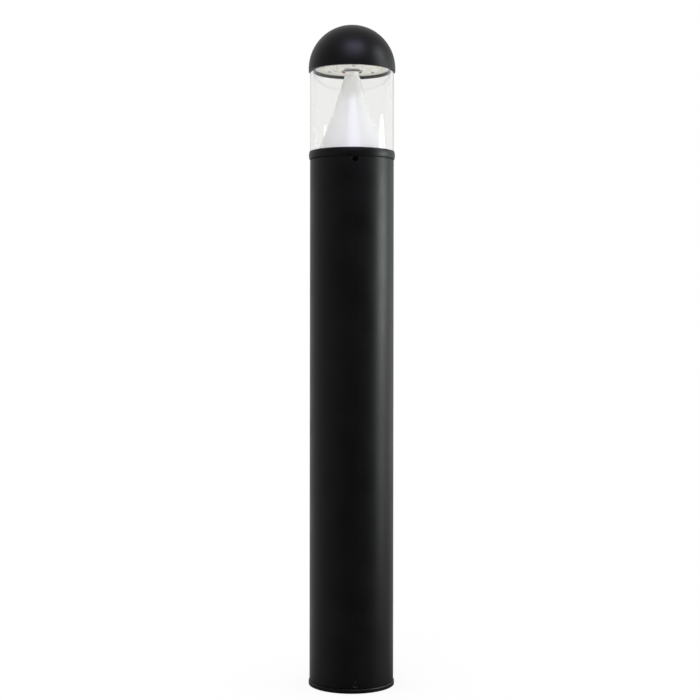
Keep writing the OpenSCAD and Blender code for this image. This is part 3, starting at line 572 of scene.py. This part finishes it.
@dataclass
class GearTray(SubAssembly):
    """Tray that hangs in the post with the driver, the surge protector and the terminals."""

    body: str = "head"
    finishes: dict[str, Finish] = field(default_factory=lambda: {
        "gear_tray": MILL, "tray_screws": ZINC, "driver_screws": ZINC,
        "driver_leads": RED_WIRE, "lead_terminal": TERMINAL,
        "surge_screws": ZINC, "surge_leads": BLACK_WIRE, "supply_terminal": TERMINAL,
        "supply_leads": BLACK_WIRE, "terminal_screws": ZINC})
    face_y: float = 16.0  # the tray's front, which the devices are screwed to
    case_edge: float = 1.0
    tab_t: float = 2.0
    tab_edge: float = 0.05
    hole: float = 2.2
    driver_w: float = 42.0
    driver_d: float = 30.0
    driver_low: float = 651.0
    driver_high: float = 801.0
    driver_tab: float = 10.0
    seam_share: float = 0.35  # the case's share of the driver's depth, and the lid has the rest
    seam_gap: float = 0.3
    tongue_inset: float = 0.8
    tongue_reach: float = 1.0
    tongue_edge: float = 0.2
    rib_n: int = 18
    rib_margin: float = 12.0
    rib_inset: float = 4.0
    rib_half: float = 1.2
    rib_edge: float = 0.4
    rib_proud: float = 0.6
    rib_root: float = 1.6
    label_half: float = 40.0
    label_near: float = 3.0
    label_far: float = 15.0
    label_root: float = 0.4
    label_proud: float = 0.15
    label_edge: float = 0.1
    surge_w: float = 34.0
    surge_d: float = 24.0
    surge_low: float = 586.0
    surge_high: float = 626.0
    surge_ear: float = 8.0
    step_d: float = 2.0
    step_side: float = 3.0
    step_end: float = 6.0
    window_x: Pair = (4.0, 10.0)
    window_z: Pair = (2.0, 8.0)
    window_y: Pair = (-0.4, 1.0)
    window_edge: float = 0.3
    pole_x: float = 6.8
    terminal_front: float = -1.04
    terminal_low: float = 816.0
    supply_low: float = 557.0
    lever_plate: LeverBar = LeverBar(1.9, (5.5, 12.5), (-1.2, 0.4), 0.4)
    lever_lip: LeverBar = LeverBar(1.4, (5.9, 7.3), (-2.0, -0.8), 0.3)

    def build(self) -> None:
        """Dresses the tray and makes the cases of its devices."""
        super().build()
        self.driver()
        self.surge()
        self.levers()

    def tab(self, shape: Shape, x: float, z: float, wide: float, tall: float) -> None:
        """A mounting tab with a screw hole, drawn as the four bars that frame the hole.

        Args:
            shape: Shape that the tab joins.
            x: Middle of the tab.
            z: Middle of the tab.
            wide: Its width.
            tall: Its height.
        """
        h, near = self.hole, self.face_y - self.tab_t
        wide, tall = wide / 2, tall / 2
        for low_x, high_x, low_z, high_z in ((-wide, -h, -tall, tall), (h, wide, -tall, tall),
                                             (-h, h, -tall, -h), (-h, h, h, tall)):
            shape.block((x + low_x, near, z + low_z), (x + high_x, self.face_y, z + high_z),
                        self.tab_edge)

    def driver(self) -> None:
        """Two-part plastic case with ribs on its front and a blank label on its flank."""
        half, low, high = self.driver_w / 2, self.driver_low, self.driver_high
        front = self.face_y - self.driver_d
        seam = self.face_y - self.driver_d * self.seam_share
        case, lid, label = Shape("driver_case"), Shape("driver_lid"), Shape("driver_label")
        case.block((-half, seam + self.seam_gap, low), (half, self.face_y, high), self.case_edge)
        lid.block((-half, front + self.rib_proud, low), (half, seam - self.seam_gap, high),
                  self.case_edge)
        inset, reach = self.tongue_inset, self.tongue_reach
        case.block((-half + inset, seam - reach, low + inset),
                   (half - inset, seam + reach, high - inset), self.tongue_edge)
        rib_x, rib_span = half - self.rib_inset, high - low - 2 * self.rib_margin
        for i in range(self.rib_n):
            z = low + self.rib_margin + rib_span * i / (self.rib_n - 1)
            lid.block((-rib_x, front, z - self.rib_half),
                      (rib_x, front + self.rib_root, z + self.rib_half), self.rib_edge)
        for z in (high + self.driver_tab / 2, low - self.driver_tab / 2):
            self.tab(case, 0, z, 2 * self.driver_tab, self.driver_tab)
        case.place(self.body, "driver_case", DRIVER, "led_driver")
        lid.place(self.body, "driver_case", DRIVER)
        middle = (low + high) / 2
        label.block((half - self.label_root, seam - self.label_far, middle - self.label_half),
                    (half + self.label_proud, seam - self.label_near, middle + self.label_half),
                    self.label_edge)
        label.place(self.body, "bare_aluminium", LABEL)

    def surge(self) -> None:
        """Blue case with a stepped face and a small status window."""
        half, front = self.surge_w / 2, self.face_y - self.surge_d
        low, high = self.surge_low, self.surge_high
        middle = (low + high) / 2
        case, window = Shape("surge_case"), Shape("surge_window")
        case.block((-half, front + self.step_d, low), (half, self.face_y, high), self.case_edge)
        case.block((-half + self.step_side, front, low + self.step_end),
                   (half - self.step_side, front + 2 * self.step_d, high - self.step_end),
                   self.case_edge)
        for side in (-1, 1):
            self.tab(case, side * (half + self.surge_ear / 2), middle, self.surge_ear,
                     self.driver_tab)
        (x0, x1), (y0, y1), (z0, z1) = self.window_x, self.window_y, self.window_z
        window.block((x0, front + y0, middle + z0), (x1, front + y1, middle + z1),
                     self.window_edge)
        case.place(self.body, "surge_case", SURGE, "surge_protector")
        window.place(self.body, "surge_case", WINDOW)

    def levers(self) -> None:
        """Release levers, one over each pole of both terminal blocks."""
        lever = Shape("terminal_levers")
        y = self.terminal_front
        for low in (self.terminal_low, self.supply_low):
            for x in (-self.pole_x, self.pole_x):
                for bar in (self.lever_plate, self.lever_lip):
                    lever.block((x - bar.half, y + bar.y[0], low + bar.z[0]),
                                (x + bar.half, y + bar.y[1], low + bar.z[1]), bar.edge)
        lever.place(self.body, "terminal_white", LEVER)


@dataclass(frozen=True)
class LedRing:
    """A ring of LEDs: how many, how far out, and where the first one sits."""

    count: int
    radius: float
    start_deg: float


@dataclass
class DomeAssembly(SubAssembly):
    """Domed cap with the LED board under it and the rod that clamps the head."""

    body: str = "dome"
    finishes: dict[str, Finish] = field(default_factory=lambda: {
        "dome_cap": BLACK_COAT, "lens_gasket_top": RUBBER, "heat_plate": MILL,
        "plate_screws": ZINC, "led_board": MASK, "board_screws": ZINC})
    board_z: float = 995.4  # the board's underside
    outer_ring: LedRing = LedRing(24, 49.2, 41.5)
    inner_ring: LedRing = LedRing(12, 29.0, 34.0)
    led_side: float = 3.5
    led_h: float = 0.8
    led_body_h: float = 0.5
    led_edge: float = 0.12
    pillow_share: float = 0.37
    pillow_root: float = 0.2
    pillow_edge: float = 0.25
    trace_h: float = 0.08
    trace_w: float = 0.9
    trace_gap: float = 1.2
    trace_edge: float = 0.02
    trace_facets: int = 120
    link_thin: float = 0.02  # the straight traces are thinner than the rings that they join
    link_n: int = 3
    link_start_deg: float = 94.0
    solder_hollow: float = 1.0
    solder_reach: float = 1.1
    solder_sweep: Pair = (100.0, 178.0)
    solder_facets: int = 32
    seal_low: float = 993.5
    seal_high: float = 998.0
    seal_r: float = 13.2
    seal_body_r: float = 11.0
    seal_gap: float = 0.1
    seal_edge: float = 0.7
    # Place and size of the black ring on the bush, which is painted shade for the gap above the
    # neck.
    ring_in: float = 0.6
    ring_rad: float = 0.55
    ring_sweep: Pair = (0.0, 330.0)
    ring_chords: int = 11
    rod_r: float = 3.0
    rod_low: float = 836.8
    rod_high: float = 1020.0
    rod_chamfer: float = 0.6
    rod_sides: int = 24
    thread_pitch: float = 1.0
    thread_depth: float = 0.5
    thread_steps: int = 4  # rings of points in each turn of the thread
    lead_r: float = 8.3
    lead_rad: float = 1.1
    lead_low: float = 825.0
    lead_turn_z: float = 992.2
    lead_bend: float = 3.6
    pad_r: float = 18.5
    pad_bend: float = 2.4
    red_turn: float = 145.0

    def build(self) -> None:
        """Dresses the dome and makes the small parts on and under its board."""
        super().build()
        self.leds()
        self.traces()
        self.seal()
        self.rod()
        self.leads()

    def lead_turns(self) -> Pair:
        """Where the red and the black lead stand about the centre line, in degrees."""
        return self.red_turn, 180 - self.red_turn

    def leds(self) -> None:
        """Ceramic packages with a pillow of phosphor each."""
        bodies, pillows = Shape("led_bodies"), Shape("led_pillows")
        half, pillow = self.led_side / 2, self.led_side * self.pillow_share
        for ring in (self.outer_ring, self.inner_ring):
            for i in range(ring.count):
                at = spot(ring.start_deg + 360 * i / ring.count, ring.radius, self.board_z)
                bodies.block((-half, -half, -self.led_body_h), (half, half, 0), self.led_edge, at)
                pillows.block((-pillow, -pillow, -self.led_h), (pillow, pillow, -self.pillow_root),
                              self.pillow_edge, at)
        bodies.place(self.body, "board_white", CERAMIC)
        pillows.place(self.body, "led_phosphor", PHOSPHOR, "led_chips")

    def traces(self) -> None:
        """Copper under the white mask: rings beside the LEDs, and solder where the leads end."""
        lines, joints = Shape("board_traces"), Shape("solder_joints")
        top, z, w = self.board_z, self.board_z - self.trace_h, self.trace_w / 2
        reach, edge = self.led_side / 2 + self.trace_gap, self.trace_edge
        outer, inner = self.outer_ring.radius, self.inner_ring.radius
        for radius in (outer, inner):
            for r in (radius - reach, radius + reach):
                lines.turn([(r - w, top), (r + w, top), (r + w, z), (r - w, z)],
                           self.trace_facets)
        link_z = z + self.link_thin
        for i in range(self.link_n):
            at = spot(self.link_start_deg + 360 / self.link_n * i, 0, 0)
            lines.block((inner + reach, -w, link_z), (outer - reach, w, top), edge, at)
        for turn in self.lead_turns():
            at = spot(turn, 0, 0)
            lines.block((self.pad_r, -2 * w, link_z), (inner - reach, 2 * w, top), edge, at)
            rim, low = self.lead_rad + self.solder_reach, top - self.solder_reach
            fillet = [(0, top), (rim, top)]
            fillet += arc((rim, low), self.solder_hollow, *self.solder_sweep) + [(0, low)]
            joints.turn(fillet, self.solder_facets, spot(turn, self.pad_r, 0))
        lines.place(self.body, "board_white", TRACE)
        joints.place(self.body, "zinc_steel", SOLDER)

    def seal(self) -> None:
        """Pale silicone bush, with a thin black ring of painted shade round its flange's rim."""
        bush, ring = Shape("rod_bush"), Shape("bush_shade_ring")
        hole, low, edge = self.rod_r + self.seal_gap, self.seal_low + self.seal_gap, self.seal_edge
        outline = [(hole, low), (self.seal_r - edge, low)]
        outline += arc((self.seal_r - edge, low + edge), edge, -90, 0)
        outline += [(self.seal_r, self.board_z), (self.seal_body_r, self.board_z),
                    (self.seal_body_r, self.seal_high), (hole, self.seal_high)]
        bush.turn(outline)
        # The black ring is painted shade: a dark band where the gap above the reflector's neck
        # falls dark.
        middle = (self.seal_r - self.ring_in, self.seal_low + self.ring_rad)
        ring.turn(arc(middle, self.ring_rad, *self.ring_sweep, self.ring_chords))
        bush.place(self.body, "seal_rubber", SILICONE, "rod_seal")
        ring.place(self.body, "seal_rubber", RUBBER)

    def rod(self) -> None:
        """Threaded rod: the thread runs its whole length, as on bought studding."""
        rod = Shape("threaded_rod")
        low, length = self.rod_low, self.rod_high - self.rod_low
        count = round(length / self.thread_pitch * self.thread_steps)
        rings = []
        for j in range(count + 1):
            z = low + length * j / count
            chamfer = self.rod_r - self.rod_chamfer + min(z - low, self.rod_high - z)
            ring = []
            for k in range(self.rod_sides):
                phase = (z / self.thread_pitch - k / self.rod_sides) % 1
                r = min(self.rod_r - self.thread_depth * (1 - abs(2 * phase - 1)), chamfer)
                turn = math.tau * k / self.rod_sides
                ring.append(Vector((r * math.cos(turn), r * math.sin(turn), z)))
            rings.append(ring)
        rod.skin(rings)
        rod.place(self.body, "zinc_steel", ZINC, "tie_rod")

    def leads(self) -> None:
        """Two insulated wires: up beside the rod, over the reflector's neck, on to their pads."""
        bend, turn, top = self.lead_bend, self.lead_turn_z, self.pad_bend
        route = [(self.lead_r, self.lead_low)]
        route += arc((self.lead_r + bend, turn - bend), bend, 180, 90, 10)
        route += arc((self.pad_r - top, turn + top), top, 270, 360, 8)
        route += [(self.pad_r, self.board_z)]
        wires = (("lead_red", "led_lead_red", "wire_red", RED_WIRE),
                 ("lead_black", "led_lead_black", "wire_black", BLACK_WIRE))
        for (name, node, slot, finish), at in zip(wires, self.lead_turns()):
            spin = spot(at, 0, 0)
            wire = Shape(name)
            wire.tube([spin @ Vector((r, 0, z)) for r, z in route],
                      spin.to_3x3() @ Vector((0, 1, 0)), self.lead_rad)
            wire.place(self.body, slot, finish, node)


# ---- Studio ----


class Lamp(Enum):
    """Outlines of a soft lamp's face."""

    PANEL = "RECTANGLE"
    OVAL = "ELLIPSE"


class Reach(Enum):
    """Whether a lamp lights matt surfaces, shows in gloss, and shows through the lens."""

    MATT = (True, False, False)
    GLOSS = (False, True, False)
    SHEEN = (False, True, True)


@dataclass(frozen=True)
class Softbox:
    """A soft lamp: where it hangs, what it faces, its size in metres and what it gives."""

    name: str
    outline: Lamp
    place: Triple
    aim: Triple
    size: Pair
    watts: float
    colour: str
    reach: Reach

    def build(self) -> None:
        """Hangs the lamp in the scene."""
        lamp = bpy.data.lights.new(self.name, "AREA")
        lamp.shape, lamp.size, lamp.size_y = self.outline.value, *self.size
        lamp.energy, lamp.color = self.watts, linear(self.colour)[:3]
        holder = bpy.data.objects.new(self.name, lamp)
        bpy.context.scene.collection.objects.link(holder)
        matt, gloss, through = self.reach.value
        holder.visible_diffuse, holder.visible_glossy = matt, gloss
        holder.visible_camera, holder.visible_transmission = False, through
        holder.location = self.place
        away = Vector(self.aim) - Vector(self.place)
        holder.rotation_euler = away.to_track_quat("-Z", "Y").to_euler()


@dataclass
class Studio:
    """Plain pale floor, soft light and the camera, with sizes in metres."""

    camera_distance: float = 2.26
    camera_height: float = 0.5813
    camera_side: float = -0.0028
    pitch_deg: float = 0.166
    roll_deg: float = 0.07
    lens_mm: float = 71.57
    sensor_mm: float = 36.0
    shift_y: float = -0.03
    floor_radius: float = 14.0
    floor_facets: int = 96
    floor_glow: float = 0.85
    floor_lift: float = 0.8  # what the floor adds for matt surfaces, which see it under the dome
    floor_colour: str = "#6c6c6c"
    white: str = "#ffffff"
    room_way: Triple = (-0.14, 0.97, 0.2)  # from the post toward the palest wall
    room_stops: tuple[tuple[float, str], ...] = (
        (0.02, "#0c0c0d"), (0.1, "#2c2c2e"), (0.2, "#4c4c4e"), (0.4, "#66666a"),
        (0.6, "#838385"), (0.8, "#a6a6a8"), (1.0, "#d6d6d8"))
    softboxes: tuple[Softbox, ...] = (
        Softbox("key_top", Lamp.PANEL, (0.2, -1.35, 2.5), (0.0, 0.0, 0.97), (1.35, 1.1), 12.8,
                "#e2dbff", Reach.SHEEN),
        Softbox("fill_front", Lamp.PANEL, (-0.4, -1.5, 2.2), (0.0, 0.0, 0.9), (1.0, 1.0), 8.0,
                "#f4f0ff", Reach.MATT),
        Softbox("strip_right", Lamp.OVAL, (1.5, 0.0, 0.85), (0.0, 0.0, 0.85), (0.76, 0.57), 6.4,
                "#ecf8f1", Reach.SHEEN),
        Softbox("upper_right", Lamp.PANEL, (1.45, -0.15, 1.7), (0.0, 0.0, 1.0), (0.7, 0.7), 4.6,
                "#eef4fa", Reach.GLOSS),
        Softbox("low_right", Lamp.PANEL, (1.5, -0.1, 0.33), (0.0, 0.0, 0.33), (0.7, 0.6), 2.6,
                "#f4f6fa", Reach.GLOSS),
        Softbox("panel_right", Lamp.PANEL, (1.35, 0.95, 0.8), (0.0, 0.0, 0.6), (1.1, 1.5), 2.2,
                "#f7f8f8", Reach.GLOSS),
    )

    def build(self) -> None:
        """Makes the floor, the lamps, the surroundings and the camera."""
        self.floor()
        for box in self.softboxes:
            box.build()
        self.surroundings()
        self.camera()
        bpy.context.scene.view_settings.view_transform = "Standard"

    def floor(self) -> None:
        """A round pale floor, seen bright but flagged out of the gloss."""
        shape = bmesh.new()
        bmesh.ops.create_circle(shape, cap_ends=True, radius=self.floor_radius,
                                segments=self.floor_facets)
        mesh = bpy.data.meshes.new("floor")
        shape.to_mesh(mesh)
        shape.free()
        floor = bpy.data.objects.new("floor", mesh)
        bpy.context.scene.collection.objects.link(floor)
        mesh.materials.append(self.floor_look())

    def floor_look(self) -> bpy.types.Material:
        """Glowing matt white, brighter for light that matt surfaces gather, and dim in gloss."""
        material = bpy.data.materials.new("look_floor")
        material.use_nodes = True
        tree = material.node_tree
        tree.nodes.clear()
        gathered = add_node(tree, "ShaderNodeLightPath").outputs["Diffuse Depth"]
        levels = {"To Min": self.floor_glow, "To Max": self.floor_glow + self.floor_lift}
        lift = add_node(tree, "ShaderNodeMapRange", levels, {"Value": gathered}).outputs[0]
        glow = add_node(tree, "ShaderNodeEmission", {"Color": linear(self.white)},
                        {"Strength": lift}).outputs[0]
        colour = {"Color": linear(self.floor_colour)}
        matt = add_node(tree, "ShaderNodeBsdfDiffuse", colour).outputs[0]
        pale = add_node(tree, "ShaderNodeAddShader", links={0: glow, 1: matt}).outputs[0]
        place = add_node(tree, "ShaderNodeTexCoord").outputs["Object"]
        way = add_node(tree, "ShaderNodeVectorMath", {"operation": "NORMALIZE"}, {0: place})
        room = self.room(tree, way.outputs[0])
        dim = add_node(tree, "ShaderNodeEmission", links={"Color": room}).outputs[0]
        shown = add_node(tree, "ShaderNodeMixShader",
                         links={0: self.mirrored(tree), 1: pale, 2: dim}).outputs[0]
        add_node(tree, "ShaderNodeOutputMaterial", links={"Surface": shown})
        material.cycles.emission_sampling = "NONE"
        return material

    def surroundings(self) -> None:
        """White all round, with flags that keep most of it out of the gloss."""
        world = bpy.data.worlds.new("studio")
        bpy.context.scene.world = world
        world.use_nodes = True
        tree = world.node_tree
        tree.nodes.clear()
        way = add_node(tree, "ShaderNodeTexCoord").outputs["Generated"]
        white = add_node(tree, "ShaderNodeBackground", {"Color": linear(self.white)}).outputs[0]
        room = self.room(tree, way)
        dim = add_node(tree, "ShaderNodeBackground", links={"Color": room}).outputs[0]
        shown = add_node(tree, "ShaderNodeMixShader",
                         links={0: self.mirrored(tree), 1: white, 2: dim}).outputs[0]
        add_node(tree, "ShaderNodeOutputWorld", links={"Surface": shown})
        world.cycles.sampling_method = "NONE"

    def mirrored(self, tree: Tree) -> Socket:
        """One for a ray that a glossy surface mirrors, and nought for all others."""
        path = add_node(tree, "ShaderNodeLightPath").outputs
        links = {0: path["Is Glossy Ray"], 1: path["Is Reflection Ray"]}
        return add_node(tree, "ShaderNodeMath", {"operation": "MULTIPLY"}, links).outputs[0]

    def room(self, tree: Tree, way: Socket) -> Socket:
        """What gloss mirrors: dark flags in front, lighter to the sides, and pale walls behind.

        Args:
            tree: Node tree to build in.
            way: Direction from the post.

        Returns:
            The colour in that direction.
        """
        settings = {"operation": "DOT_PRODUCT", 1: self.room_way}
        toward = add_node(tree, "ShaderNodeVectorMath", settings, {0: way}).outputs["Value"]
        share = add_node(tree, "ShaderNodeMapRange", {"From Min": -1.0, "From Max": 1.0},
                         {"Value": toward}).outputs[0]
        return add_node(tree, "ShaderNodeValToRGB", links={"Fac": share},
                        stops=self.room_stops).outputs[0]

    def camera(self) -> None:
        """A camera a little above the post's middle, looking very slightly down."""
        lens = bpy.data.cameras.new("camera")
        lens.lens, lens.sensor_width, lens.shift_y = self.lens_mm, self.sensor_mm, self.shift_y
        holder = bpy.data.objects.new("camera", lens)
        bpy.context.scene.collection.objects.link(holder)
        holder.location = (self.camera_side, -self.camera_distance, self.camera_height)
        turn = Matrix.Rotation(math.radians(90 - self.pitch_deg), 4, "X")
        roll = Matrix.Rotation(math.radians(self.roll_deg), 4, "Z")
        holder.rotation_euler = (turn @ roll).to_euler()
        bpy.context.scene.camera = holder


def main() -> None:
    """Builds the looks from the ground up."""
    logging.basicConfig(level=logging.INFO, format="%(message)s")
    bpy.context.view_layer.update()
    for part in (Foot(), Column(), LampHead(), GearTray(), DomeAssembly()):
        LOG.info("building %s on body %s", type(part).__name__, part.body)
        part.build()
    Studio().build()


if __name__ == "__main__":
    main()
